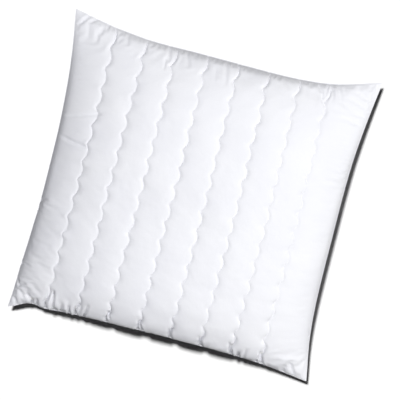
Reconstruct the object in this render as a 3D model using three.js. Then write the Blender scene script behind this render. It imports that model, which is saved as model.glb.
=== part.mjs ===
// A square bed pillow, lying flat: two quilted panels, each of a cloth, a layer of wadding and a lining,
// sewn together round the edge over a loose fibre filling. Eight wavy lines of quilting thread run across
// each panel, from the foot side to the head side.
//
// Millimetres, +Z up, +Y towards the head side, +X to the right. The origin is under the middle of the
// pillow, on the surface that it lies on.
import * as THREE from "three";

// Plan: the filled pillow's sides are drawn in between its corners, which stand out as ears.
const CORNER_SPAN = 776; // from corner tip to corner tip
const SIDE_PULL = 24; // how far the middles of the left and right sides are drawn in
const END_PULL = 30; // how far the middles of the head and foot sides are drawn in
const EAR_POWER = 4.5; // how late along a side its ear begins
const EDGE_POWER = 5; // how close to the edge the quilting begins to fan out with the ears

// Height
const CROWN = 88; // the top panel's rise above the edge seam
const BELLY = 80; // how far the bottom panel would hang below the seam with nothing under it
const SEAM_HEIGHT = 62; // the edge seam above the surface, at the middles of the sides
const CORNER_DROOP = 24; // how much lower the corner tips hang
const DROOP_POWER = 3;
const DOME_POWER = 2.4; // a larger value makes a flatter middle
const FOOT_POWER = 5; // towards the foot side, where the filling has slid down and fills the edge out
const DOME_ROUND = 0.6; // under 1, so that the panels leave the seam steeply

// Quilting
const CHANNELS = 9;
const CHANNEL_WIDTH = 80; // between two quilting lines
const QUILT_SHIFT = -8; // the lines sit this far off centre, to the left
const QUILT_NUDGES = [5, 1.5, 0, 0, 0, -2, -3, -8]; // how far right of its even place each line was sewn
const QUILT_LEAN = 9; // the lines lean to the right towards the head side, by this much at the seam
const HEAD_SWAY = 9.5; // on the head half they draw together again, by this much on the right at the seam
const SWAY_START = -0.75; // the u of the line that keeps its lean
const LEAN_POWER = 8; // how close to the left and right sides the cloth still leans
const GROOVE = 6.5; // how deep a quilting line pulls the cloth in
const WAVE_LENGTH = 46.6;
const WAVE_HEIGHT = 4.5; // sideways, each way from a line's middle
const THREAD_RADIUS = 0.5;
const THREAD_SIDES = 3;
const THREAD_LIFT = 1.3; // the thread's middle above the cloth, which leaves a gap under it
const THREAD_REACH = 0.985; // a thread ends at this share of the way from the middle to the seam
const STEPS_PER_WAVE = 5;

// Layers, from the cloth inwards
const CLOTH = 0.8;
const WADDING_THIN = 0.6; // at the seam
const WADDING_LOFT = 8.4; // more, where the pillow is thick
const LINING = 0.5;
const GAP = 0.3; // between layers
const FULL_LOFT_RISE = 40; // the wadding has its full loft where the panel is this far from the seam plane

// Edge seam
const SEAM_RING = 0.966; // the share of the way out where wadding and lining end and the seam band begins
const ALLOWANCE_SPAN = [0.33, 0.92]; // of the way from the seam to that ring
const ALLOWANCE_HALF = 1.2; // half its thickness
const SEAM_THREAD_SPAN = [0.48, 0.6];
const SEAM_THREAD_RANGE = [1.5, 2.1]; // its lowest and highest point above the seam plane

// Grid: the outermost ring of cells is the seam band, and each channel is three cells wide.
const ROWS = 10;

const half = CORNER_SPAN / 2;
const sideReach = half - SIDE_PULL; // from the middle to the middle of the left or right side
const endReach = half - END_PULL;
const quiltLines = Array.from(
  { length: CHANNELS - 1 },
  (_, k) => (QUILT_SHIFT + (k + 1 - CHANNELS / 2) * CHANNEL_WIDTH + QUILT_NUDGES[k]) / sideReach,
);

// Every layer is made on one grid of u and v, which run from -1 to 1 from side to side and from foot to head.
const columns = gridColumns();
const rows = gridRows();

function gridColumns() {
  const edges = [-SEAM_RING, ...quiltLines, SEAM_RING];
  const found = [{ u: -1, line: false }];
  edges.forEach((u, k) => {
    const onLine = k > 0 && k < edges.length - 1;
    found.push({ u, line: onLine });
    if (k === edges.length - 1) return;
    const next = edges[k + 1];
    const outer = k === 0 || k === edges.length - 2;
    const shares = outer ? [1 / 2] : [1 / 3, 2 / 3];
    shares.forEach((s) => found.push({ u: u + s * (next - u), line: false }));
  });
  found.push({ u: 1, line: false });
  return found;
}

function gridRows() {
  const inner = ROWS - 2;
  const bent = (j) => SEAM_RING * Math.sin(((j - inner / 2) / inner) * Math.PI);
  return [-1, ...Array.from({ length: inner + 1 }, (_, j) => bent(j)), 1];
}

function plan(u, v) {
  const ear = (along) => Math.abs(along) ** EAR_POWER;
  const edge = (out) => out * Math.abs(out) ** EDGE_POWER;
  const sway = HEAD_SWAY * Math.max(v, 0) * (u - SWAY_START);
  const lean = (QUILT_LEAN * v - sway) * (1 - Math.abs(u) ** LEAN_POWER);
  return [
    u * sideReach + edge(u) * SIDE_PULL * ear(v) + lean,
    v * endReach + edge(v) * END_PULL * ear(u),
  ];
}

const seamHeight = (u, v) => SEAM_HEIGHT - CORNER_DROOP * Math.abs(u * v) ** DROOP_POWER;

function dome(u, v) {
  const fall = (t, power) => 1 - Math.abs(t) ** power;
  return Math.max(0, fall(u, DOME_POWER) * fall(v, v < 0 ? FOOT_POWER : DOME_POWER)) ** DOME_ROUND;
}

// The surfaces of one panel, as distances from the seam plane. The bottom panel lies flat where it would
// otherwise hang lower than the surface, and its quilting lines stay a groove above that.
function depths(u, v, line, bottom) {
  const room = seamHeight(u, v) - GAP / 2 - CLOTH;
  const rise = bottom ? Math.min(BELLY * dome(u, v), room) : CROWN * dome(u, v);
  const loft = Math.min(1, rise / FULL_LOFT_RISE);
  const cloth = rise + GAP / 2 + CLOTH - (line ? GROOVE * loft : 0);
  const clothInside = cloth - CLOTH;
  const wadding = clothInside - GAP;
  const crest = rise - GAP / 2;
  const waddingInside = crest - WADDING_THIN - WADDING_LOFT * loft;
  const lining = waddingInside - GAP;
  const liningInside = lining - LINING;
  return { cloth, clothInside, wadding, waddingInside, lining, liningInside, filling: liningInside - GAP };
}

// A point of one surface at a grid node.
function nodePoint(i, j, surface, bottom) {
  const { u, line } = columns[i];
  const v = rows[j];
  const [x, y] = plan(u, v);
  const depth = depths(u, v, line, bottom)[surface];
  return new THREE.Vector3(x, y, seamHeight(u, v) + (bottom ? -depth : depth));
}

// A cell's two triangles. The diagonal runs towards the nearest corner of the pillow.
function cellTriangles(i, j) {
  const [a, b, c, d] = [[i, j], [i + 1, j], [i + 1, j + 1], [i, j + 1]];
  const outward = (i - (columns.length - 2) / 2) * (j - (rows.length - 2) / 2) > 0;
  return outward ? [[a, b, c], [a, c, d]] : [[a, b, d], [b, c, d]];
}

// A closed solid between two surfaces over the grid, less the given number of rings at its edge.
function layerGeometry(upper, lower, rings) {
  const positions = [];
  const put = (...points) => points.forEach((p) => positions.push(...p.toArray()));
  const last = [columns.length - 1 - rings, rows.length - 1 - rings];
  const high = ([i, j]) => nodePoint(i, j, upper.surface, upper.bottom);
  const low = ([i, j]) => nodePoint(i, j, lower.surface, lower.bottom);
  for (let i = rings; i < last[0]; i++) {
    for (let j = rings; j < last[1]; j++) {
      cellTriangles(i, j).forEach(([a, b, c]) => {
        put(high(a), high(b), high(c));
        put(low(a), low(c), low(b));
      });
    }
  }
  const wall = (a, b) => {
    put(high(a), low(a), high(b));
    put(high(b), low(a), low(b));
  };
  for (let i = rings; i < last[0]; i++) {
    wall([i, rings], [i + 1, rings]);
    wall([i + 1, last[1]], [i, last[1]]);
  }
  for (let j = rings; j < last[1]; j++) {
    wall([last[0], j], [last[0], j + 1]);
    wall([rings, j + 1], [rings, j]);
  }
  return facetedGeometry(positions);
}

function facetedGeometry(positions) {
  const geometry = new THREE.BufferGeometry();
  geometry.setAttribute("position", new THREE.Float32BufferAttribute(positions, 3));
  geometry.computeVertexNormals();
  return geometry;
}

// A ring of rectangular section inside the edge, between two shares of the seam band and two heights above
// the seam plane.
function seamRingGeometry([outer, inner], [bottom, top]) {
  const [nx, ny] = [columns.length - 1, rows.length - 1];
  const loop = [];
  for (let i = 1; i < nx - 1; i++) loop.push([i, 1]);
  for (let j = 1; j < ny - 1; j++) loop.push([nx - 1, j]);
  for (let i = nx - 1; i > 1; i--) loop.push([i, ny - 1]);
  for (let j = ny - 1; j > 1; j--) loop.push([1, j]);
  const rim = (n, last) => (n === 1 ? 0 : n === last - 1 ? last : n);
  const spot = ([i, j], onX, onY) => [
    onX ? rim(i, nx) : i,
    onY ? rim(j, ny) : j,
  ];
  const ends = ([i, j]) => {
    const [onX, onY] = [i === 1 || i === nx - 1, j === 1 || j === ny - 1];
    return [spot([i, j], onX, onY), [i, j]].map(([a, b]) => {
      const [u, v] = [columns[a].u, rows[b]];
      return new THREE.Vector3(...plan(u, v), seamHeight(u, v));
    });
  };
  const corner = (node, share, height) => {
    const [seam, ring] = ends(node);
    return seam.lerp(ring, share).add(new THREE.Vector3(0, 0, height));
  };
  const section = [[outer, bottom], [inner, bottom], [inner, top], [outer, top]];
  const positions = [];
  loop.forEach((node, k) => {
    const next = loop[(k + 1) % loop.length];
    section.forEach((at, n) => {
      const after = section[(n + 1) % section.length];
      const [a, b] = [corner(node, ...at), corner(node, ...after)];
      const [c, d] = [corner(next, ...after), corner(next, ...at)];
      [a, b, c, a, c, d].forEach((p) => positions.push(...p.toArray()));
    });
  });
  return facetedGeometry(positions);
}

// The point of the faceted cloth at u and v, and the outward normal of the facet that it lies on.
function onCloth(u, v, bottom) {
  const i = columns.findLastIndex((c, k) => k < columns.length - 1 && c.u <= u);
  const j = rows.findLastIndex((r, k) => k < rows.length - 1 && r <= v);
  const uv = (n) => new THREE.Vector3(columns[n[0]].u, rows[n[1]], 0);
  const target = new THREE.Vector3(u, v, 0);
  for (const nodes of cellTriangles(i, j)) {
    const flat = new THREE.Triangle(...nodes.map(uv));
    if (!flat.containsPoint(target)) continue;
    const facet = new THREE.Triangle(...nodes.map(([a, b]) => nodePoint(a, b, "cloth", bottom)));
    const share = flat.getBarycoord(target, new THREE.Vector3());
    const point = new THREE.Vector3()
      .addScaledVector(facet.a, share.x)
      .addScaledVector(facet.b, share.y)
      .addScaledVector(facet.c, share.z);
    const normal = facet.getNormal(new THREE.Vector3()).multiplyScalar(bottom ? -1 : 1);
    return { point, normal };
  }
  throw new Error(`no facet at ${u}, ${v}`);
}

// One line of quilting: a wave along a groove of the cloth.
class QuiltingLine extends THREE.Curve {
  constructor(line, bottom) {
    super();
    this.line = line;
    this.bottom = bottom;
    this.arcLengthDivisions = 400;
  }

  getPoint(t) {
    const v = THREE.MathUtils.lerp(-THREAD_REACH, THREAD_REACH, t);
    const wave = WAVE_HEIGHT * Math.sin((2 * Math.PI * v * endReach) / WAVE_LENGTH);
    const { point, normal } = onCloth(this.line + wave / sideReach, v, this.bottom);
    return point.addScaledVector(normal, THREAD_LIFT);
  }
}

function threadGeometry(line, bottom) {
  const section = new THREE.Shape(
    Array.from({ length: THREAD_SIDES }, (_, k) => {
      const angle = (2 * Math.PI * k) / THREAD_SIDES;
      return new THREE.Vector2(THREAD_RADIUS * Math.cos(angle), THREAD_RADIUS * Math.sin(angle));
    }),
  );
  const waves = (2 * THREAD_REACH * endReach) / WAVE_LENGTH;
  return new THREE.ExtrudeGeometry(section, {
    extrudePath: new QuiltingLine(line, bottom),
    steps: Math.round(waves * STEPS_PER_WAVE),
  });
}

const fabric = (color, roughness) => new THREE.MeshStandardMaterial({ color, roughness, metalness: 0 });
const materials = {
  cover: fabric(0xf1f1f6, 0.8),
  wadding: fabric(0xf6f6f4, 0.95),
  lining: fabric(0xe9e9e6, 0.9),
  filling: fabric(0xf7f7f5, 0.95),
  seam: fabric(0xe6e6ec, 0.85),
  thread: fabric(0xf4f4fa, 0.6),
};

const pillow = new THREE.Group();

function add(name, geometry, material) {
  const mesh = new THREE.Mesh(geometry, material);
  mesh.name = name;
  pillow.add(mesh);
}

const surfaceOf = (surface, bottom) => ({ surface, bottom });

// One quilted panel: its layers and its lines of thread.
function addPanel(side, bottom) {
  const layer = (outside, inside, rings) => {
    const [out, inner] = [surfaceOf(outside, bottom), surfaceOf(inside, bottom)];
    return bottom ? layerGeometry(inner, out, rings) : layerGeometry(out, inner, rings);
  };
  add(`${side}_cover`, layer("cloth", "clothInside", 0), materials.cover);
  add(`${side}_wadding`, layer("wadding", "waddingInside", 1), materials.wadding);
  add(`${side}_lining`, layer("lining", "liningInside", 1), materials.lining);
  quiltLines.forEach((line, k) => {
    add(`${side}_quilting_thread_${k + 1}`, threadGeometry(line, bottom), materials.thread);
  });
}

addPanel("top", false);
addPanel("bottom", true);
add(
  "fibre_filling",
  layerGeometry(surfaceOf("filling", false), surfaceOf("filling", true), 1),
  materials.filling,
);
add("seam_allowance", seamRingGeometry(ALLOWANCE_SPAN, [-ALLOWANCE_HALF, ALLOWANCE_HALF]), materials.seam);
add("seam_thread", seamRingGeometry(SEAM_THREAD_SPAN, SEAM_THREAD_RANGE), materials.thread);

export default pillow;
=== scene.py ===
"""A square quilted bed pillow, lying flat on a pale floor.

Each panel is a grid of points that follows its quilting: columns run along the lines of stitching and
swing with their waves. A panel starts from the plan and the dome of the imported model. Its quilting, lumps
and larger folds are pressed into it, and then a cloth simulation lets the cloth puff and pucker between the
stitching. The layers inside are shrunk copies of the panels.

Everything is in metres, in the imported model's frame: +Z up, +Y towards the head side, +X to the right. On a
panel, u runs from -1 at the left seam to 1 at the right one, and v from -1 at the foot seam to 1 at the head.
"""

import math

import bpy
import numpy as np
from mathutils import Matrix, Vector


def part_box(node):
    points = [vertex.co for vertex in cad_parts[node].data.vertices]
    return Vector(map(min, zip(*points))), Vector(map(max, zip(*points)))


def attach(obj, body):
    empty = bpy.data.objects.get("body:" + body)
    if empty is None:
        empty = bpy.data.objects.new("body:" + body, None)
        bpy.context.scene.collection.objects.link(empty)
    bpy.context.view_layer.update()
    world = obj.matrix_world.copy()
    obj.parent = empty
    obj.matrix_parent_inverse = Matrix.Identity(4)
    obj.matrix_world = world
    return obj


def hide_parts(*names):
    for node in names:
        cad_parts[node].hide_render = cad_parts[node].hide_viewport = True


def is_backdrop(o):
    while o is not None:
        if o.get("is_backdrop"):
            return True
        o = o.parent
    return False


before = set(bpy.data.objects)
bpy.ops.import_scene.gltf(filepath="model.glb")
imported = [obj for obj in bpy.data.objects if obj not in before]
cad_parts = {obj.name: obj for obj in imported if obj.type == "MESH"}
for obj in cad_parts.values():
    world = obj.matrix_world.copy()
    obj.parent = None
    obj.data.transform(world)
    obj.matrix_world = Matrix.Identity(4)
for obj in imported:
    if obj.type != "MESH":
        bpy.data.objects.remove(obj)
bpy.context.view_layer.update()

MM = 0.001

# ---------------------------------------------------------------- the pillow's plan and height

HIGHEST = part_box("top_cover")[1]
CORNER_REACH = HIGHEST.x  # from the middle to a corner tip, along X or Y
SIDE_PULL = 24 * MM  # how far the middles of the left and right sides are drawn in
HEAD_PULL = 35 * MM  # the same at the head side
FOOT_PULL = 28 * MM  # and at the foot side
SIDE_REACH = CORNER_REACH - SIDE_PULL
END_REACH = CORNER_REACH - (HEAD_PULL + FOOT_PULL) / 2
EAR_POWER = 4.5  # how late along a side its ear begins
CORNER_BLUNT = 2 * MM  # how far the rounding of a corner takes off its tip, along X and along Y
BLUNT_POWER = 24  # how close to the tip that rounding starts
# The left ear of the foot side is short: how far the edge beside it is drawn in, and where, as values of u.
NOTCH = 12 * MM
NOTCH_PLACE = -0.88
NOTCH_WIDTH = 0.075
EDGE_POWER = 5  # how close to the edge the cloth begins to follow the outline
# The outline isn't quite regular. Each side stands out by these millimetres more than its arc does, at evenly
# spaced places from foot to head or from left to right.
LEFT_EDGE = (2, 9, 7, 2.5, 0.5, -0.5, 1, 2.5, 3)
RIGHT_EDGE = (-3, -6, -7, -7, -6.5, -6, -4, -0.5, 0)
HEAD_EDGE = (2, 4, 3, 3.5, 1.5, -1, -3, -3.5, 2)
FOOT_EDGE = (-2, -5, -4, -3, -3, -1, 1, 3, 4)
SEAM_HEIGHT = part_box("bottom_cover")[1].z - 0.5 * MM  # at the middles of the sides
CORNER_DROOP = 24 * MM  # how much lower the corner tips hang
CROWN = HIGHEST.z - SEAM_HEIGHT - 1 * MM  # the top panel's rise above the seam
BELLY = 80 * MM  # how far the bottom panel would hang below the seam with nothing under it
FLOOR_ROUNDING = 6 * MM  # the bottom panel rounds on to the floor over this height
DOME_POWER = 2.4  # more makes a flatter middle
FOOT_POWER = 5  # towards the foot side, where the filling has slid down and fills the edge out
DOME_ROUND = 0.6  # under 1, so that the panels leave the seam steeply

# ---------------------------------------------------------------- quilting

CHANNELS = 9
CHANNEL_WIDTH = 80 * MM  # between two lines
QUILT_SHIFT = -8 * MM  # the lines sit this far off centre
QUILT_NUDGES = (5, 1.5, 0, 0, 0, -2, -3, -8)  # how many mm right of its even place each line was sewn
QUILT_LEAN = 9 * MM  # the lines lean to the right towards the head side, by this much at the seam
HEAD_SWAY = 9.5 * MM  # on the head half they draw together again, by this much on the right at the seam
SWAY_START = -0.75  # the u of the line that keeps its lean
LEAN_POWER = 8  # how close to the left and right sides the cloth still leans
WAVE_LENGTH = 46.6 * MM
WAVE_HEIGHT = 3.9 * MM  # sideways, each way from a line's middle
WAVE_SCALLOP = 0.2  # makes the wave's right-hand turns rounder and its left-hand ones sharper
WAVE_REACH = 15 * MM  # how far from its line the cloth swings with the wave
WAVE_JITTER = 0.5 * MM  # how far the stitching strays from its even wave
QUILT_SINK = 1.9 * MM  # how far the quilting draws the cloth down, over a whole channel
SINK_POWER = 2.0  # more keeps the sinking closer to the line
STITCH_SINK = 0.9 * MM  # and how much further right at the stitches
STITCH_WIDTH = 2.4 * MM
STITCH_UNEVEN = 0.6  # how much that varies along a line
FOOT_PINCH = 11 * MM  # how much deeper a line is drawn in near the foot seam
HEAD_PINCH = 2 * MM
PINCH_WIDTH = 3.5 * MM
PINCH_FADE = 60 * MM  # the pinches fade out over this distance from the left and right seams
FOOT_PINCH_REACH = 12 * MM  # from the seam to where the pinch is deepest
HEAD_PINCH_REACH = 16 * MM
DEEPEST_AT_SEAM = 1 * MM  # no fold goes deeper than this at the seam,
DEEPEST_SHARE = 0.65  # and elsewhere than this share of the panel's height as well
FOOT_BULGE = 2.5 * MM  # how far the filling pushes the cloth out over the foot seam
BULGE_REACH = 12 * MM
BULGE_FADE = 90 * MM  # it fades out over this distance from the left and right seams
BULGE_GAP = 4.5 * MM  # half the width of the notch that a line leaves in the bulge
BULGE_NOTCH = 0.6  # and the notch's depth, as a share of the bulge
BULGE_UNEVEN = 0.1  # how much the bulge varies along the seam
# The unevenness of the filling and the cloth: how high, and over what distance, coarse to fine.
LUMPS = ((0.9 * MM, 34 * MM), (0.42 * MM, 12 * MM), (0.15 * MM, 4 * MM))
# Where the cloth is crumpled: a place, its radius in mm, and how much more uneven the cloth is in its middle.
CRUMPLED = (
    (-362, -335, 42, 4.0),
    (-360, -225, 60, 1.6),
    (-366, -105, 26, 2.5),
    (362, 150, 40, 2.5),
    (330, -350, 40, 1.5),
)
LOFT_REACH = 30 * MM  # the quilting and the lumps reach their full depth this far from the seam
LIP = 1.5 * MM  # the width of the thin edge that the two panels make at the seam
LIP_HALF = 0.7 * MM  # half its thickness where the panels part

# The folds that the top's cloth has taken, in mm: the x and y of each one's start and end, half its width and
# its depth.
CREASES = (
    # pulled across the left channel
    (-346, 132, -304, 147, 5, 2.0),
    (-306, 147, -264, 162, 4, 2.2),
    (-352, 79, -318, 73, 5, 2.2),
    (-322, 73, -286, 71, 5, 2.6),
    # head side, from the left ear to the right one
    (-370, 357, -350, 381, 4, 3.4),
    (-349, 363, -331, 377, 3.5, 2.8),
    (-347, 360, -343, 330, 4, 1.4),
    (-311, 364, -315, 342, 3.5, 3.0),
    (-322, 352, -320, 325, 4, 3.0),
    (-300, 369, -305, 352, 3.5, 1.4),
    (-248, 356, -243, 334, 4, 1.2),
    (-142, 352, -137, 324, 4.5, 2.4),
    (-146, 330, -143, 305, 3, 2.0),
    (-97, 352, -87, 326, 4, 1.2),
    (-20, 332, -15, 298, 4, 0.8),
    (4, 342, 11, 304, 5, 1.4),
    (236, 348, 243, 336, 3.5, 1.8),
    (246, 337, 251, 318, 3, 1.8),
    (257, 350, 256, 328, 3.5, 1.8),
    (267, 350, 276, 333, 4, 2.4),
    (283, 356, 297, 326, 4.5, 2.4),
    (298, 356, 304, 340, 3.5, 1.6),
    (332, 362, 337, 350, 3.5, 1.2),
    # left edge, from its middle down to the foot ear
    (-357, -86, -372, -98, 4, 2.6),
    (-374, -104, -366, -120, 4, 2.0),
    (-382, -264, -360, -257, 4, 2.0),
    (-378, -304, -370, -320, 4, 1.8),
    (-372, -318, -356, -306, 4, 1.6),
    (-366, -330, -350, -349, 4, 2.0),
    (-376, -352, -366, -374, 6, 3.0),
    (-359, -350, -354, -368, 4, 2.4),
    # foot side, from the left ear to the right one
    (-347, -334, -333, -346, 4, 5.3),
    (-333, -342, -329, -368, 5, 12.0),
    (-320, -340, -315, -366, 5, 8.8),
    (-296, -350, -284, -364, 4, 7.0),
    (-282, -310, -275, -362, 4.5, 9.6),
    (-268, -346, -268, -366, 4.5, 7.9),
    (-254, -334, -258, -364, 4, 7.0),
    (-246, -346, -248, -366, 4, 7.0),
    (-238, -332, -232, -358, 4, 7.9),
    (-221, -348, -210, -362, 4, 7.0),
    (-206, -322, -211, -346, 3.5, 3.5),
    (-191, -318, -198, -362, 3.5, 5.3),
    (-140, -318, -131, -338, 3.5, 4.5),
    (-143, -352, -131, -364, 4, 7.0),
    (-60, -322, -38, -362, 4, 5.6),
    (-63, -350, -54, -366, 4, 7.0),
    (-20, -352, -14, -366, 4, 3.5),
    (18, -326, 31, -352, 4, 5.3),
    (17, -352, 26, -368, 4, 7.0),
    (95, -326, 109, -352, 4, 5.3),
    (93, -354, 101, -370, 4, 7.0),
    (171, -326, 184, -358, 4, 7.0),
    (170, -358, 177, -374, 4, 7.0),
    (199, -346, 202, -376, 4.5, 9.6),
    (215, -332, 214, -358, 4, 2.9),
    (251, -332, 263, -358, 4, 6.4),
    (246, -358, 252, -378, 4, 7.0),
    (267, -366, 271, -380, 4, 5.3),
    (329, -346, 346, -374, 4, 6.0),
    (316, -366, 324, -382, 4, 7.0),
)

# ---------------------------------------------------------------- grid

CELLS_PER_CHANNEL = 32
COLUMN_CROWDING = 0.45  # how much closer together the columns are beside the stitching than between it
ROWS = 320
ROW_CROWDING = 0.38  # how much closer together the rows are beside the seams than in the middle


def grid_columns():
    """u of every column, closer together beside the lines of quilting, and which columns lie on a line."""
    middle = (CHANNELS - 2) / 2
    places = [QUILT_SHIFT + (k - middle) * CHANNEL_WIDTH + nudge * MM for k, nudge in enumerate(QUILT_NUDGES)]
    edges = [-1.0, *(place / SIDE_REACH for place in places), 1.0]
    found = [np.array([-1.0])]
    for k in range(CHANNELS):
        share = np.arange(1, CELLS_PER_CHANNEL + 1) / CELLS_PER_CHANNEL
        share = share - COLUMN_CROWDING * np.sin(2 * math.pi * share) / (2 * math.pi)
        found.append(edges[k] + (edges[k + 1] - edges[k]) * share)
    return np.concatenate(found), [CELLS_PER_CHANNEL * k for k in range(1, CHANNELS)]


def grid_rows():
    """v of every row, closer together near the seams."""
    t = np.linspace(-1, 1, ROWS + 1)
    return (1 - ROW_CROWDING) * t + ROW_CROWDING * np.sin(t * math.pi / 2)


COLUMNS, LINE_COLUMNS = grid_columns()
LINES = [COLUMNS[c] for c in LINE_COLUMNS]
U, V = np.meshgrid(COLUMNS, grid_rows())


def through(values, place):
    """A smooth curve through values that are evenly spaced from -1 to 1, read at each place."""
    padded = np.array([values[0], *values, values[-1]], float)
    at = np.clip((place + 1) / 2, 0, 1) * (len(values) - 1)
    k = np.minimum(at.astype(int), len(values) - 2)
    t = at - k
    a, b, c, d = (padded[k + n] for n in range(4))
    return b + t * (c - a + t * (2 * a - 5 * b + 4 * c - d + t * (3 * b - 3 * c + d - a))) / 2


def smooth_step(x, low, high):
    """Rises from 0 at low to 1 at high."""
    t = np.clip((x - low) / (high - low), 0, 1)
    return t * t * (3 - 2 * t)


def smooth_noise(shape, blur, seed):
    """Random numbers over a grid, blurred by so many cells along rows and columns, with a spread of 1."""
    rng = np.random.default_rng(seed)
    spectrum = np.fft.rfft2(rng.standard_normal(shape))
    along = np.fft.fftfreq(shape[0])[:, None] * blur[0]
    across = np.fft.rfftfreq(shape[1])[None, :] * blur[1]
    field = np.fft.irfft2(spectrum * np.exp(-2 * (math.pi**2) * (along**2 + across**2)), s=shape)
    return field / field.std()


def plan(u, v):
    """x and y of a point of a panel: the outline with its ears, and the quilting's lean and waves."""
    ear_v = np.abs(v) ** EAR_POWER
    ear_u = np.abs(u) ** EAR_POWER
    pull = np.where(v > 0, HEAD_PULL, FOOT_PULL)
    x = u * SIDE_REACH + u * np.abs(u) ** EDGE_POWER * SIDE_PULL * ear_v
    y = v * (CORNER_REACH - pull) + v * np.abs(v) ** EDGE_POWER * pull * ear_u
    x = x + MM * np.where(u > 0, through(RIGHT_EDGE, v), -through(LEFT_EDGE, v)) * np.abs(u) ** EDGE_POWER
    y = y + MM * np.where(v > 0, through(HEAD_EDGE, u), -through(FOOT_EDGE, u)) * np.abs(v) ** EDGE_POWER
    y = y + NOTCH * np.exp(-(((u - NOTCH_PLACE) / NOTCH_WIDTH) ** 2)) * np.clip(-v, 0, 1) ** EDGE_POWER
    blunt = CORNER_BLUNT * np.abs(u * v) ** BLUNT_POWER
    x, y = x - np.sign(u) * blunt, y - np.sign(v) * blunt
    sway = HEAD_SWAY * np.maximum(v, 0) * (u - SWAY_START)
    x = x + (QUILT_LEAN * v - sway) * (1 - np.abs(u) ** LEAN_POWER)
    turn = 2 * math.pi * v * END_REACH / WAVE_LENGTH
    wave = WAVE_HEIGHT * (np.sin(turn) + WAVE_SCALLOP * np.cos(2 * turn))
    x = x + wave * np.exp(-((line_distance(u) / WAVE_REACH) ** 2))
    return x, y


def seam_height(u, v):
    """The height of the edge seam's surface, which hangs at the corners."""
    return SEAM_HEIGHT - CORNER_DROOP * np.abs(u * v) ** 3


def dome(u, v):
    """The share of its full height that a panel has, from 0 on the seam's lip to 1 in the middle."""
    side = np.clip(np.abs(u) / (1 - LIP / SIDE_REACH), 0, 1)
    end = np.clip(np.abs(v) / (1 - LIP / END_REACH), 0, 1)
    return ((1 - side**DOME_POWER) * (1 - end ** np.where(v < 0, FOOT_POWER, DOME_POWER))) ** DOME_ROUND


def seam_distance(u, v):
    """Distances in plan to the nearest side seam and to the nearest end seam."""
    return (1 - np.abs(u)) * SIDE_REACH, (1 - np.abs(v)) * END_REACH


def seam_edge():
    """Each grid point's distance to the nearest seam."""
    return np.minimum(*seam_distance(U, V))


def line_distance(u):
    """How far u is from the nearest line of quilting, across the panel."""
    return np.min([np.abs(u - line) for line in LINES], axis=0) * SIDE_REACH


def base_panel(bottom):
    """A panel's surface before its quilting, as a grid of points."""
    x, y = plan(U, V)
    stray = smooth_noise(U.shape, (4, 4), seed=8) * WAVE_JITTER
    x = x + stray * np.exp(-((line_distance(U) / WAVE_REACH) ** 2))
    seam = seam_height(U, V) + (-1 if bottom else 1) * LIP_HALF * np.clip(seam_edge() / LIP, 0, 1)
    if bottom:
        hanging = seam - BELLY * dome(U, V)
        z = FLOOR_ROUNDING * np.logaddexp(0, hanging / FLOOR_ROUNDING)
    else:
        z = seam + CROWN * dome(U, V)
    return np.dstack([x, y, z])


def normals(points):
    """Unit normals of a grid of points, upwards."""
    across = np.gradient(points, axis=1)
    along = np.gradient(points, axis=0)
    n = np.cross(across, along)
    return n / np.maximum(np.linalg.norm(n, axis=2, keepdims=True), 1e-12)


def crease(points, x1, y1, x2, y2, width, depth):
    """How deep one fold, given in mm, presses each point in: a valley with a low ridge along each side, which
    fades a little past its ends."""
    first, last = np.array([x1, y1]) * MM, np.array([x2, y2]) * MM
    along = last - first
    length = np.linalg.norm(along)
    offset = points[..., :2] - first
    t = (offset @ along) / length**2
    away = (offset[..., 0] * along[1] - offset[..., 1] * along[0]) / (length * width * MM)
    ends = smooth_step(t, -0.25, 0.3) * (1 - smooth_step(t, 0.7, 1.25))
    return depth * MM * ends * (1 - 0.7 * away**2) * np.exp(-(away**2) / 1.6)


def sunk(apart):
    """How far the quilting draws the cloth down: over a whole channel, and further at the stitches."""
    sink = QUILT_SINK * np.clip(1 - 2 * apart / CHANNEL_WIDTH, 0, 1) ** SINK_POWER
    uneven = 1 + STITCH_UNEVEN * smooth_noise(U.shape, (3, 3), seed=9)
    return sink + STITCH_SINK * np.clip(uneven, 0, 2) * np.exp(-apart / STITCH_WIDTH)


def lumpy(points):
    """How far the unevenness of the filling and of the cloth lifts each point."""
    cell = (2 * END_REACH / ROWS, CHANNEL_WIDTH / CELLS_PER_CHANNEL)
    crumpled = 1 + sum(
        more * np.exp(-((points[..., 0] - x * MM) ** 2 + (points[..., 1] - y * MM) ** 2) / (radius * MM) ** 2)
        for x, y, radius, more in CRUMPLED
    )
    lumps = 0
    for k, (height, size) in enumerate(LUMPS):
        field = height * smooth_noise(U.shape, (size / cell[0], size / cell[1]), seed=5 + 30 * k)
        lumps = lumps + (field * crumpled if k else field)
    return lumps


def pinched(apart, side, end):
    """How much deeper the lines are drawn in near the head and foot seams."""
    depth = np.where(V > 0, HEAD_PINCH, FOOT_PINCH)
    reach = np.where(V > 0, HEAD_PINCH_REACH, FOOT_PINCH_REACH)
    depth = depth * np.exp(-((apart / PINCH_WIDTH) ** 2)) * (end / reach) * np.exp(1 - end / reach)
    return depth * smooth_step(side, 0, PINCH_FADE)


def bulged(apart, side, end):
    """How far the filling pushes the cloth out over the foot seam, between the lines."""
    bulge = np.where(V > 0, 0, FOOT_BULGE) * (end / BULGE_REACH) * np.exp(1 - end / BULGE_REACH)
    bulge = bulge * smooth_step(side, 0, BULGE_FADE) * (1 - BULGE_NOTCH * np.exp(-((apart / BULGE_GAP) ** 2)))
    return bulge * (1 + BULGE_UNEVEN * smooth_noise(U.shape, (8, 6), seed=12))


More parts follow.
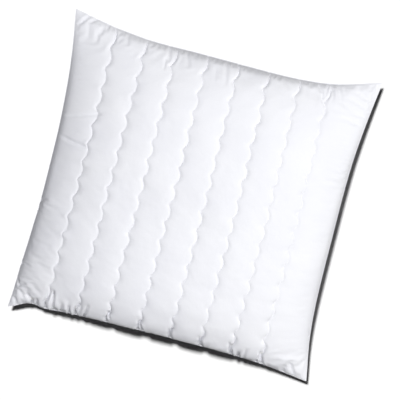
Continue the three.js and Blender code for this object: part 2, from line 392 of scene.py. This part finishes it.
def quilt(points, bottom):
    """Sinks the quilting, the pinches and the folds into a panel, and lifts its lumps and bulges."""
    side, end = seam_distance(U, V)
    apart = line_distance(U)
    loft = smooth_step(seam_edge(), 0, LOFT_REACH)
    folds = 0 if bottom else sum(crease(points, *fold) for fold in CREASES)
    deepest = DEEPEST_AT_SEAM + DEEPEST_SHARE * CROWN * dome(U, V)
    press = deepest * np.tanh((pinched(apart, side, end) + folds) / deepest)
    lift = (lumpy(points) - sunk(apart)) * loft - press + bulged(apart, side, end)
    moved = points + (-1 if bottom else 1) * normals(points) * lift[..., None]
    if bottom:
        moved[..., 2] = np.maximum(moved[..., 2], 0)
    return moved


# ---------------------------------------------------------------- meshes


def grid_faces(rows, columns, flip):
    """The faces of a grid of points, facing up, or down if flipped."""
    index = np.arange(rows * columns).reshape(rows, columns)
    quads = np.stack([index[:-1, :-1], index[:-1, 1:], index[1:, 1:], index[1:, :-1]], axis=-1).reshape(-1, 4)
    return quads[:, ::-1] if flip else quads


def new_object(name, points, faces, material):
    """A smooth-shaded mesh object in the scene."""
    mesh = bpy.data.meshes.new(name)
    mesh.from_pydata(points.tolist(), [], [list(face) for face in faces])
    mesh.validate()
    mesh.shade_smooth()
    piece = bpy.data.objects.new(name, mesh)
    bpy.context.scene.collection.objects.link(piece)
    mesh.materials.append(material)
    return piece


def add_cloth_uv(piece, u, v):
    """A UV map in metres of cloth, so that the weave follows the panel."""
    layer = piece.data.uv_layers.new(name="cloth")
    loops = np.zeros(len(piece.data.loops), np.int32)
    piece.data.loops.foreach_get("vertex_index", loops)
    flat = np.stack([u.ravel(), v.ravel()], axis=1)[loops]
    layer.data.foreach_set("uv", flat.astype(np.float32).ravel())


# ---------------------------------------------------------------- materials


class Material:
    """A Principled material and short ways to add nodes to it."""

    def __init__(self, name, roughness):
        self.material = bpy.data.materials.new(name)
        self.material.use_nodes = True
        self.tree = self.material.node_tree
        self.shader = self.tree.nodes["Principled BSDF"]
        self.shader.inputs["Roughness"].default_value = roughness

    def add(self, kind, **values):
        """A new node, with a value or a link for each socket that is named. A name has _ for a space."""
        node = self.tree.nodes.new(kind)
        for name, value in values.items():
            socket = node.inputs[name.replace("_", " ")]
            if isinstance(value, bpy.types.NodeSocket):
                self.tree.links.new(value, socket)
            else:
                socket.default_value = value
        return node

    def place(self, uv=None):
        """Where a point is: in metres of cloth along its panel, or in the pillow's own space."""
        if uv:
            node = self.add("ShaderNodeUVMap")
            node.uv_map = uv
            return node.outputs["UV"]
        return self.add("ShaderNodeTexCoord").outputs["Object"]

    def noise(self, place, scale, detail=3.0):
        """An uneven pattern, as a number from 0 to 1."""
        return self.add("ShaderNodeTexNoise", Vector=place, Scale=scale, Detail=detail).outputs["Fac"]

    def product(self, first, second):
        """Two outputs multiplied."""
        node = self.tree.nodes.new("ShaderNodeMath")
        node.operation = "MULTIPLY"
        for socket, value in zip(node.inputs, (first, second)):
            self.tree.links.new(value, socket)
        return node.outputs["Value"]

    def threads(self, place, scale, direction):
        """Stripes across one way of the cloth, one for each thread."""
        node = self.add("ShaderNodeTexWave", Vector=place, Scale=scale, Distortion=0.6)
        node.bands_direction = direction
        return node.outputs["Fac"]

    def colour_between(self, factor, dark, light):
        """Colours the surface from dark to light as the factor rises."""
        ramp = self.add("ShaderNodeValToRGB", Fac=factor)
        ramp.color_ramp.elements[0].color = (*dark, 1)
        ramp.color_ramp.elements[0].position = 0.3
        ramp.color_ramp.elements[1].color = (*light, 1)
        ramp.color_ramp.elements[1].position = 0.7
        self.tree.links.new(ramp.outputs["Color"], self.shader.inputs["Base Color"])

    def bump(self, height, depth, under=None):
        """A bump of the given depth in metres, on top of another one."""
        node = self.add("ShaderNodeBump", Height=height, Distance=depth)
        if under:
            self.tree.links.new(under, node.inputs["Normal"])
        return node.outputs["Normal"]

    def finish(self, normal):
        """Gives the surface its bumps and returns the material."""
        self.tree.links.new(normal, self.shader.inputs["Normal"])
        return self.material


def fabric(name, dark, light, roughness, weave, crumple):
    """A plain-woven cloth: crossing threads, small crumples and a faint unevenness of colour."""
    made = Material(name, roughness)
    made.shader.inputs["Sheen Weight"].default_value = 0.12
    made.shader.inputs["Sheen Roughness"].default_value = 0.5
    place = made.place("cloth" if name == "cover_cloth" else None)
    made.colour_between(made.noise(place, 9, 4), dark, light)
    woven = made.product(made.threads(place, weave, "X"), made.threads(place, weave, "Y"))
    normal = made.bump(woven, 0.02 * MM)
    return made.finish(made.bump(made.noise(place, 120, 4), crumple, normal))


def fibre(name, dark, light, scale):
    """Loose polyester fibre: soft tufts with fine strands on them."""
    made = Material(name, 0.95)
    made.shader.inputs["Sheen Weight"].default_value = 0.3
    place = made.place()
    tufts = made.noise(place, scale / 4, 5)
    made.colour_between(tufts, dark, light)
    normal = made.bump(tufts, 1.2 * MM)
    return made.finish(made.bump(made.noise(place, scale * 4, 6), 0.3 * MM, normal))


def thread_material(name, dark, light):
    """Polyester sewing thread: a twist of fine plies with a slight gloss."""
    made = Material(name, 0.5)
    made.shader.inputs["Sheen Weight"].default_value = 0.1
    place = made.place()
    twist = made.add("ShaderNodeTexWave", Vector=place, Scale=900.0, Distortion=1.5)
    twist.bands_direction = "DIAGONAL"
    made.colour_between(made.noise(place, 300), dark, light)
    return made.finish(made.bump(twist.outputs["Fac"], 0.05 * MM))


# ---------------------------------------------------------------- lamps


def look_at(thing, target):
    """Turns a lamp towards a point."""
    direction = Vector(target) - thing.location
    turn = direction.to_track_quat("-Z", "Y").to_matrix().to_4x4()
    thing.matrix_world = Matrix.Translation(thing.location) @ turn


def area_light(name, location, target, size, power, colour):
    """A round softbox that shines on a point."""
    data = bpy.data.lights.new(name, "AREA")
    data.shape = "DISK"
    data.size = size
    data.energy = power
    data.color = colour
    lamp = bpy.data.objects.new(name, data)
    bpy.context.scene.collection.objects.link(lamp)
    lamp.location = location
    look_at(lamp, target)
    return lamp


# ---------------------------------------------------------------- cloth simulation

CLOTH_STEPS = 400
CLOTH_DAMPING = 0.88  # the share of its speed that the cloth keeps from step to step
CLOTH_STIFFNESS = 0.004  # how strongly the cloth resists bending: more gives broader folds
PUFF = 0.004 * MM  # how far the filling pushes the cloth outwards in a step
SEED_RIPPLE = 0.12 * MM  # the unevenness that the folds grow from


def pull_together(points, first, second, rest):
    """Moves pairs of points to their rest distance. first and second are slices of the grid."""
    a, b = points[first], points[second]
    apart = b - a
    length = np.sqrt(np.einsum("kij,kij->ij", apart, apart))
    move = apart * (0.5 * (1 - rest / np.maximum(length, 1e-7)))
    a += move
    b -= move


def neighbour_pairs(rows, columns):
    """Slices of the grid that pair every point with its neighbours, in families that share no point."""
    every = slice(None)
    for k in (0, 1):
        low_row, high_row = slice(k, rows - 1, 2), slice(k + 1, rows, 2)
        low_column, high_column = slice(k, columns - 1, 2), slice(k + 1, columns, 2)
        yield "across", (every, every, low_column), (every, every, high_column)
        yield "along", (every, low_row, every), (every, high_row, every)
        yield "shear", (every, low_row, slice(0, -1)), (every, high_row, slice(1, None))
        yield "shear", (every, low_row, slice(1, None)), (every, high_row, slice(0, -1))


def bend(field):
    """How far each value of a field lies from its neighbours' mean, times four, and 0 on the border."""
    out = np.zeros_like(field)
    above, below = field[:, 2:, 1:-1], field[:, :-2, 1:-1]
    right, left = field[:, 1:-1, 2:], field[:, 1:-1, :-2]
    out[:, 1:-1, 1:-1] = above + below + right + left - 4 * field[:, 1:-1, 1:-1]
    return out


def settle(start, excess_across, excess_along, hold, way, seed):
    """The cloth simulation of one panel. The cloth is longer than its place by the excess given for each
    direction, so it puckers and puffs until it fits. hold is how firmly each point is kept at its start."""
    points = np.ascontiguousarray(np.moveaxis(start, 2, 0), dtype=np.float32)
    home = points.copy()
    out = np.ascontiguousarray(np.moveaxis(normals(start), 2, 0), dtype=np.float32) * way
    excess = {"across": excess_across, "along": excess_along, "shear": (excess_across + excess_along) / 2}
    families = []
    for kind, first, second in neighbour_pairs(*start.shape[:2]):
        apart = home[second] - home[first]
        grown = 1 + (excess[kind][first[1:]] + excess[kind][second[1:]]) / 2
        families.append((first, second, (np.sqrt((apart**2).sum(0)) * grown).astype(np.float32)))
    ripple = smooth_noise(start.shape[:2], (1.6, 1.6), seed) * SEED_RIPPLE * (1 - hold)
    points += out * ripple.astype(np.float32)
    free = (1 - hold).astype(np.float32)
    speed = np.zeros_like(points)
    for _ in range(CLOTH_STEPS):
        before = points.copy()
        points += speed * CLOTH_DAMPING + out * (PUFF * free)
        for first, second, rest in families:
            pull_together(points, first, second, rest)
        shift = points - home
        shift -= bend(bend(shift)) * CLOTH_STIFFNESS
        shift *= free
        points = home + shift
        speed = points - before
    return np.moveaxis(points, 0, 2).astype(float)


# ---------------------------------------------------------------- where the cloth is gathered

# Each gather: where it is along its seam and how far it spreads to each side, in mm, and how much longer the
# cloth is there.
HEAD_GATHERS = (
    (-325, 30, 0.025),
    (-272, 14, 0.04),
    (-142, 20, 0.05),
    (-98, 16, 0.04),
    (10, 14, 0.04),
    (262, 30, 0.07),
)
FOOT_GATHERS = (
    (-340, 26, 0.05),
    (-252, 36, 0.06),
    (-200, 12, 0.05),
    (200, 16, 0.05),
    (262, 18, 0.05),
    (330, 20, 0.05),
)
LEFT_GATHERS = ((-330, 40, 0.04), (-105, 14, 0.04))
RIGHT_GATHERS = ((150, 50, 0.02), (300, 40, 0.02))
END_GATHER = 0.04  # along the whole of the head and foot seams
SIDE_GATHER = 0.012  # along the whole of the left and right seams
GATHER_PERIODS = (9 * MM, 37 * MM)  # how quickly those two vary along their seams
LOOSE_HOLD = 0.002  # how firmly the filling keeps the cloth in its place: 0 is free and 1 is fixed
STITCH_HOLD = 0.25  # how firmly a line of stitching does
SEAM_HOLD = 0.2  # and how firmly the lip of the seam does, beside it
SEAM_HOLD_REACH = 4 * MM
GATHER_REACH = 42 * MM  # how far from the seam the folds run
QUILT_SLACK = 0.006  # how much longer the cloth is between its lines of stitching
CLEAR_OF_FLOOR = 0.2 * MM


def gathers(place, listed, everywhere):
    """The extra length at each place along a seam: uneven everywhere, and more where a gather is listed."""
    short, long = GATHER_PERIODS
    uneven = 0.5 + 0.5 * np.sin(place / short + 3 * np.sin(place / long))
    spread = sum(slack * np.exp(-(((place - at * MM) / (width * MM)) ** 2)) for at, width, slack in listed)
    return everywhere * (0.3 + uneven) + spread


def slack_fields():
    """How much longer the cloth is than its place, across and along the panel."""
    x, y = plan(U, V)
    side, end = seam_distance(U, V)
    near_end = np.exp(-((end / GATHER_REACH) ** 2))
    near_side = np.exp(-((side / GATHER_REACH) ** 2))
    head, foot = (gathers(x, listed, END_GATHER) for listed in (HEAD_GATHERS, FOOT_GATHERS))
    left, right = (gathers(y, listed, SIDE_GATHER) for listed in (LEFT_GATHERS, RIGHT_GATHERS))
    end_gathers = np.where(V > 0, head, foot)
    side_gathers = np.where(U < 0, left, right)
    return QUILT_SLACK + near_end * end_gathers, QUILT_SLACK + near_side * side_gathers


def hold_field():
    """How firmly each point is kept: wholly on the seam, firmly on the stitching, and a little elsewhere."""
    hold = LOOSE_HOLD + SEAM_HOLD * np.exp(-((seam_edge() / SEAM_HOLD_REACH) ** 2))
    hold[:, LINE_COLUMNS] = STITCH_HOLD
    hold[[0, -1], :] = 1
    hold[:, [0, -1]] = 1
    return hold


def make_panel(start, bottom):
    """The finished surface of a panel."""
    panel = settle(start, *slack_fields(), hold_field(), -1 if bottom else 1, seed=11 if bottom else 3)
    if bottom:
        panel[..., 2] = np.maximum(panel[..., 2], CLEAR_OF_FLOOR)
    return panel


# ---------------------------------------------------------------- the pillow's pieces

WADDING_SHARES = (0.972, 0.9)  # the size of a wadding's outer and inner surface next to the cover's
LINING_SHARES = (0.894, 0.886)
FILLING_SHARE = 0.878
HALF_GAP = 0.5 * MM  # half the gap between the layers of the top and those of the bottom
LAYER_STRIDE = 4  # the inner layers use every fourth row and column
FILLING_LUMP = 4 * MM  # the height of the filling's lumps, and their size along it
FILLING_LUMP_SIZE = 18 * MM
FILLING_LOFT_REACH = 60 * MM
ALLOWANCE_SHARES = (0.996, 0.976)  # where the turned-in edges start and end, next to the seam's own curve
ALLOWANCE_HALF = 0.5 * MM  # half their thickness
STITCH_LENGTH = 3.1 * MM
STITCH_PITCH = 3.9 * MM
THREAD_RADIUS = 0.24 * MM
THREAD_SIDES = 6
THREAD_PROFILE = ((0.0, 0.45), (0.08, 1.0), (0.92, 1.0), (1.0, 0.45))  # along a stitch: where, and how thick


def on_pillow(piece, slot, *nodes):
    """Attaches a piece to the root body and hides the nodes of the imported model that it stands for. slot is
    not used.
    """
    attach(piece, "root")
    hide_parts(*nodes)
    return piece


def cover(side, panel, material):
    faces = grid_faces(*panel.shape[:2], side == "bottom")
    piece = new_object(f"{side}_cloth", panel.reshape(-1, 3), faces, material)
    add_cloth_uv(piece, U * SIDE_REACH, V * END_REACH)
    on_pillow(piece, "cover_cloth", f"{side}_cover")


def inside(panel, share, gap, extra=0.0):
    """A panel's surface shrunk towards the middle of the seam's plane, at the layers' resolution."""
    points = panel[::LAYER_STRIDE, ::LAYER_STRIDE]
    seam = seam_height(U, V)[::LAYER_STRIDE, ::LAYER_STRIDE]
    shrunk = points * share
    shrunk[..., 2] = seam + (points[..., 2] - seam) * share + gap + extra
    return shrunk


def closed(upper, lower):
    """The points and faces of a closed solid between two surfaces of one grid."""
    rows, columns = upper.shape[:2]
    count = rows * columns
    index = np.arange(count).reshape(rows, columns)
    rim = np.concatenate([index[0, :-1], index[:-1, -1], index[-1, :0:-1], index[:0:-1, 0]])
    after = np.roll(rim, -1)
    walls = np.stack([rim, rim + count, after + count, after], axis=1)
    faces = [grid_faces(rows, columns, False), grid_faces(rows, columns, True) + count, walls]
    return np.concatenate([upper.reshape(-1, 3), lower.reshape(-1, 3)]), np.concatenate(faces)


def padding_layer(side, kind, shape, shares, material):
    """One of the layers behind a cover, between two shrunk copies of the panel."""
    way = -1 if side == "bottom" else 1
    surfaces = [inside(shape, share, way * HALF_GAP) for share in shares]
    points, faces = closed(*surfaces[::way])
    piece = new_object(f"{side}_{kind}_layer", points, faces, material)
    return on_pillow(piece, kind, f"{side}_{kind}")


def filling_piece(shapes, material):
    """The loose filling between the two linings, with the lumps that fibre settles into."""
    cell = LAYER_STRIDE * CHANNEL_WIDTH / CELLS_PER_CHANNEL
    blur = FILLING_LUMP_SIZE / cell
    loft = smooth_step(seam_edge(), 0, FILLING_LOFT_REACH)[::LAYER_STRIDE, ::LAYER_STRIDE]
    surfaces = []
    for shape, way, seed in zip(shapes, (1, -1), (21, 22)):
        lumps = np.abs(smooth_noise(loft.shape, (blur, blur), seed)) * FILLING_LUMP * loft
        surfaces.append(inside(shape, FILLING_SHARE, way * HALF_GAP / 2, -way * lumps))
    piece = new_object("fibre_filling_mass", *closed(*surfaces), material)
    on_pillow(piece, "filling", "fibre_filling")


def capsules(starts, ends, radius):
    """Points and faces of one short rounded rod of thread for each pair of points."""
    along = ends - starts
    length = np.linalg.norm(along, axis=1, keepdims=True)
    ahead = along / length
    side = np.cross(ahead, (0.0, 0.0, 1.0))
    side /= np.linalg.norm(side, axis=1, keepdims=True)
    above = np.cross(side, ahead)
    angles = 2 * math.pi * np.arange(THREAD_SIDES) / THREAD_SIDES
    rings = []
    for at, size in THREAD_PROFILE:
        middle = starts + along * at
        for angle in angles:
            rings.append(middle + (side * math.cos(angle) + above * math.sin(angle)) * radius * size)
    points = np.stack(rings, axis=1)
    faces = [list(range(THREAD_SIDES))[::-1], list(range(3 * THREAD_SIDES, 4 * THREAD_SIDES))]
    for ring in range(3):
        for k in range(THREAD_SIDES):
            this, following = ring * THREAD_SIDES + k, ring * THREAD_SIDES + (k + 1) % THREAD_SIDES
            faces.append([this, following, following + THREAD_SIDES, this + THREAD_SIDES])
    per_rod = 4 * THREAD_SIDES
    every = [[corner + per_rod * rod for corner in face] for rod in range(len(starts)) for face in faces]
    return points.reshape(-1, 3), every


def stitches_along(path):
    """The ends of the stitches of an even row of stitching along a path."""
    step = np.linalg.norm(np.diff(path, axis=0), axis=1)
    travelled = np.concatenate([[0], np.cumsum(step)])
    count = int((travelled[-1] - STITCH_LENGTH) / STITCH_PITCH)
    starts = np.arange(count) * STITCH_PITCH + STITCH_PITCH / 2

    def at(distance):
        return np.stack([np.interp(distance, travelled, path[:, k]) for k in range(3)], axis=1)

    return at(starts), at(starts + STITCH_LENGTH)


def stitching(name, path, node, material):
    piece = new_object(name, *capsules(*stitches_along(path), THREAD_RADIUS), material)
    on_pillow(piece, "thread", node)


def quilting(side, panel, material):
    """A row of stitches on each line of quilting, from just inside one seam to just inside the other."""
    way = -1 if side == "bottom" else 1
    outward = normals(panel) * way
    for k, column in enumerate(LINE_COLUMNS, start=1):
        path = panel[2:-2, column] + outward[2:-2, column] * THREAD_RADIUS
        stitching(f"{side}_quilting_stitches_{k}", path, f"{side}_quilting_thread_{k}", material)


def rim_path(share):
    """The seam's curve, shrunk towards the middle."""
    x, y = plan(U, V)
    rim = np.dstack([x * share, y * share, seam_height(U, V)])
    return np.concatenate([rim[0, :-1], rim[:-1, -1], rim[-1, :0:-1], rim[:0:-1, 0]])


def seam_pieces(cloth, thread):
    """The turned-in edges of the two panels, and the stitches through them."""
    rings = []
    for share, rise in zip((*ALLOWANCE_SHARES, *ALLOWANCE_SHARES[::-1]), (-1, -1, 1, 1)):
        rings.append(rim_path(share) + (0, 0, rise * ALLOWANCE_HALF))
    points = np.stack(rings, axis=1)
    count = len(points)
    index = np.arange(count * 4).reshape(count, 4)
    after = np.roll(index, -1, axis=0)
    faces = []
    for k, n in ((0, 1), (1, 2), (2, 3), (3, 0)):
        faces.append(np.stack([index[:, k], after[:, k], after[:, n], index[:, n]], axis=1))
    piece = new_object("turned_in_edges", points.reshape(-1, 3), np.concatenate(faces), cloth)
    on_pillow(piece, "seam_cloth", "seam_allowance")
    path = rim_path((ALLOWANCE_SHARES[0] + ALLOWANCE_SHARES[1]) / 2)
    path = np.concatenate([path, path[:1]]) + (0, 0, ALLOWANCE_HALF + THREAD_RADIUS)
    stitching("seam_stitches", path, "seam_thread", thread)


def build_pillow():
    cover_cloth = fabric("cover_cloth", (0.862, 0.866, 0.9), (0.896, 0.9, 0.924), 0.82, 1400, 0.3 * MM)
    seam_cloth = fabric("seam_cloth", (0.84, 0.845, 0.86), (0.88, 0.88, 0.9), 0.85, 1400, 0.1 * MM)
    lining = fabric("lining", (0.78, 0.78, 0.76), (0.86, 0.86, 0.84), 0.9, 700, 0.2 * MM)
    wadding = fibre("wadding", (0.84, 0.84, 0.82), (0.92, 0.92, 0.9), 260)
    filling = fibre("filling", (0.82, 0.82, 0.8), (0.93, 0.93, 0.92), 140)
    thread = thread_material("thread", (0.84, 0.845, 0.87), (0.92, 0.92, 0.94))
    shapes = [quilt(base_panel(bottom), bottom) for bottom in (False, True)]
    for side, shape in zip(("top", "bottom"), shapes):
        panel = make_panel(shape, side == "bottom")
        cover(side, panel, cover_cloth)
        quilting(side, panel, thread)
        padding_layer(side, "wadding", shape, WADDING_SHARES, wadding)
        lining_piece = padding_layer(side, "lining", shape, LINING_SHARES, lining)
    filling_piece(shapes, filling)
    seam_pieces(seam_cloth, thread)


build_pillow()

# ---------------------------------------------------------------- stage, light and camera

FLOOR_HALF = 12.0  # half the side of the floor
FLOOR_COLOUR = (0.95, 0.95, 0.95, 1)
WORLD_LIGHT = 0.006  # how brightly the world shines on things, where the camera sees it white
LIGHT_TARGET = (0, 0, 0.1)
SOFTBOX_DISTANCE = 8.0
# Each softbox: the direction it shines from, its size and power, and its colour.
SOFTBOXES = (
    ("overhead", (0, 0, 1), 3.0, 312, (0.975, 0.98, 1.02)),
    ("right", (0.65, 0, 1), 3.0, 252, (1, 1, 0.99)),
    ("head", (0, 0.7, 1), 3.0, 122, (1, 1, 1)),
    ("right_low", (3.7, 0, 1), 3.0, 125, (1, 1, 0.99)),
    ("left_low", (-3.7, 0, 1), 3.0, 40, (0.95, 0.97, 1.05)),
    ("head_low", (0, 3.7, 1), 3.0, 32, (0.98, 0.98, 1.02)),
    ("floor_bounce", (0, 0, -1), 5.0, 90, (1, 1, 1)),
)
SUN_POWER = 3.9
SUN_ANGLE = math.radians(8)  # how wide the sun is, which softens the edge of the shadow
SUN_FROM = (-math.tan(math.radians(13)), math.tan(math.radians(25)), 1)
TILT = math.radians(10.6)  # how far the camera leans towards the head side from straight above
TURN = math.radians(13.6)  # how far it is turned about its own axis
CAMERA_DISTANCE = 7.2
CAMERA_TARGET = Vector((0.0175, 0.0, 0.06))
CAMERA_LENS = 262
SENSOR_WIDTH = 36
CAMERA_REACH = 50

scene = bpy.context.scene
scene.view_settings.view_transform = "Standard"


def make_floor():
    material = bpy.data.materials.new("floor")
    material.use_nodes = True
    shader = material.node_tree.nodes["Principled BSDF"]
    shader.inputs["Base Color"].default_value = FLOOR_COLOUR
    shader.inputs["Roughness"].default_value = 1
    corners = np.array([[-1, -1, 0], [1, -1, 0], [1, 1, 0], [-1, 1, 0]]) * FLOOR_HALF
    floor = new_object("floor", corners, np.array([[0, 1, 2, 3]]), material)
    floor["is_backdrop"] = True
    floor.visible_diffuse = False  # so that the light on the floor doesn't reach the pillow from below
    return floor


def make_world():
    world = bpy.data.worlds.new("world")
    scene.world = world
    world.use_nodes = True
    tree = world.node_tree
    background = tree.nodes["Background"]
    background.inputs["Color"].default_value = (1, 1, 1, 1)
    seen = tree.nodes.new("ShaderNodeLightPath")
    strength = tree.nodes.new("ShaderNodeMapRange")
    strength.inputs["To Min"].default_value = WORLD_LIGHT
    strength.inputs["To Max"].default_value = 1.0
    tree.links.new(seen.outputs["Is Camera Ray"], strength.inputs["Value"])
    tree.links.new(strength.outputs["Result"], background.inputs["Strength"])


def collect(name, pieces):
    """A collection for lights to be linked to."""
    collection = bpy.data.collections.new(name)
    for piece in pieces:
        collection.objects.link(piece)
    return collection


def make_lights(pillow_pieces, stage_pieces):
    """Softboxes that light only the pillow, and a sun that lights only the floor, for its shadow."""
    for name, direction, size, power, colour in SOFTBOXES:
        place = Vector(LIGHT_TARGET) + Vector(direction).normalized() * SOFTBOX_DISTANCE
        lamp = area_light(name, place, LIGHT_TARGET, size, power, colour)
        lamp.light_linking.receiver_collection = pillow_pieces
        if name == "floor_bounce":
            lamp.light_linking.blocker_collection = pillow_pieces
    data = bpy.data.lights.new("floor_sun", "SUN")
    data.energy = SUN_POWER
    data.angle = SUN_ANGLE
    sun = bpy.data.objects.new("floor_sun", data)
    scene.collection.objects.link(sun)
    sun.location = SUN_FROM
    look_at(sun, (0, 0, 0))
    sun.light_linking.receiver_collection = stage_pieces


def make_camera():
    data = bpy.data.cameras.new("camera")
    data.lens = CAMERA_LENS
    data.sensor_width = SENSOR_WIDTH
    data.clip_end = CAMERA_REACH
    camera = bpy.data.objects.new("camera", data)
    scene.collection.objects.link(camera)
    scene.camera = camera
    camera.location = CAMERA_TARGET + Vector((0, math.sin(TILT), math.cos(TILT))) * CAMERA_DISTANCE
    backward = (camera.location - CAMERA_TARGET).normalized()
    up = Vector((0, math.cos(TILT), -math.sin(TILT)))
    right = up.cross(backward)
    facing = Matrix((right, up, backward)).transposed().to_4x4()
    camera.matrix_world = Matrix.Translation(camera.location) @ facing @ Matrix.Rotation(TURN, 4, "Z")


floor = make_floor()
make_world()
pillow = [thing for thing in scene.objects if thing.type == "MESH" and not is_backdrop(thing)]
make_lights(collect("pillow_pieces", pillow), collect("stage_pieces", [floor]))
make_camera()
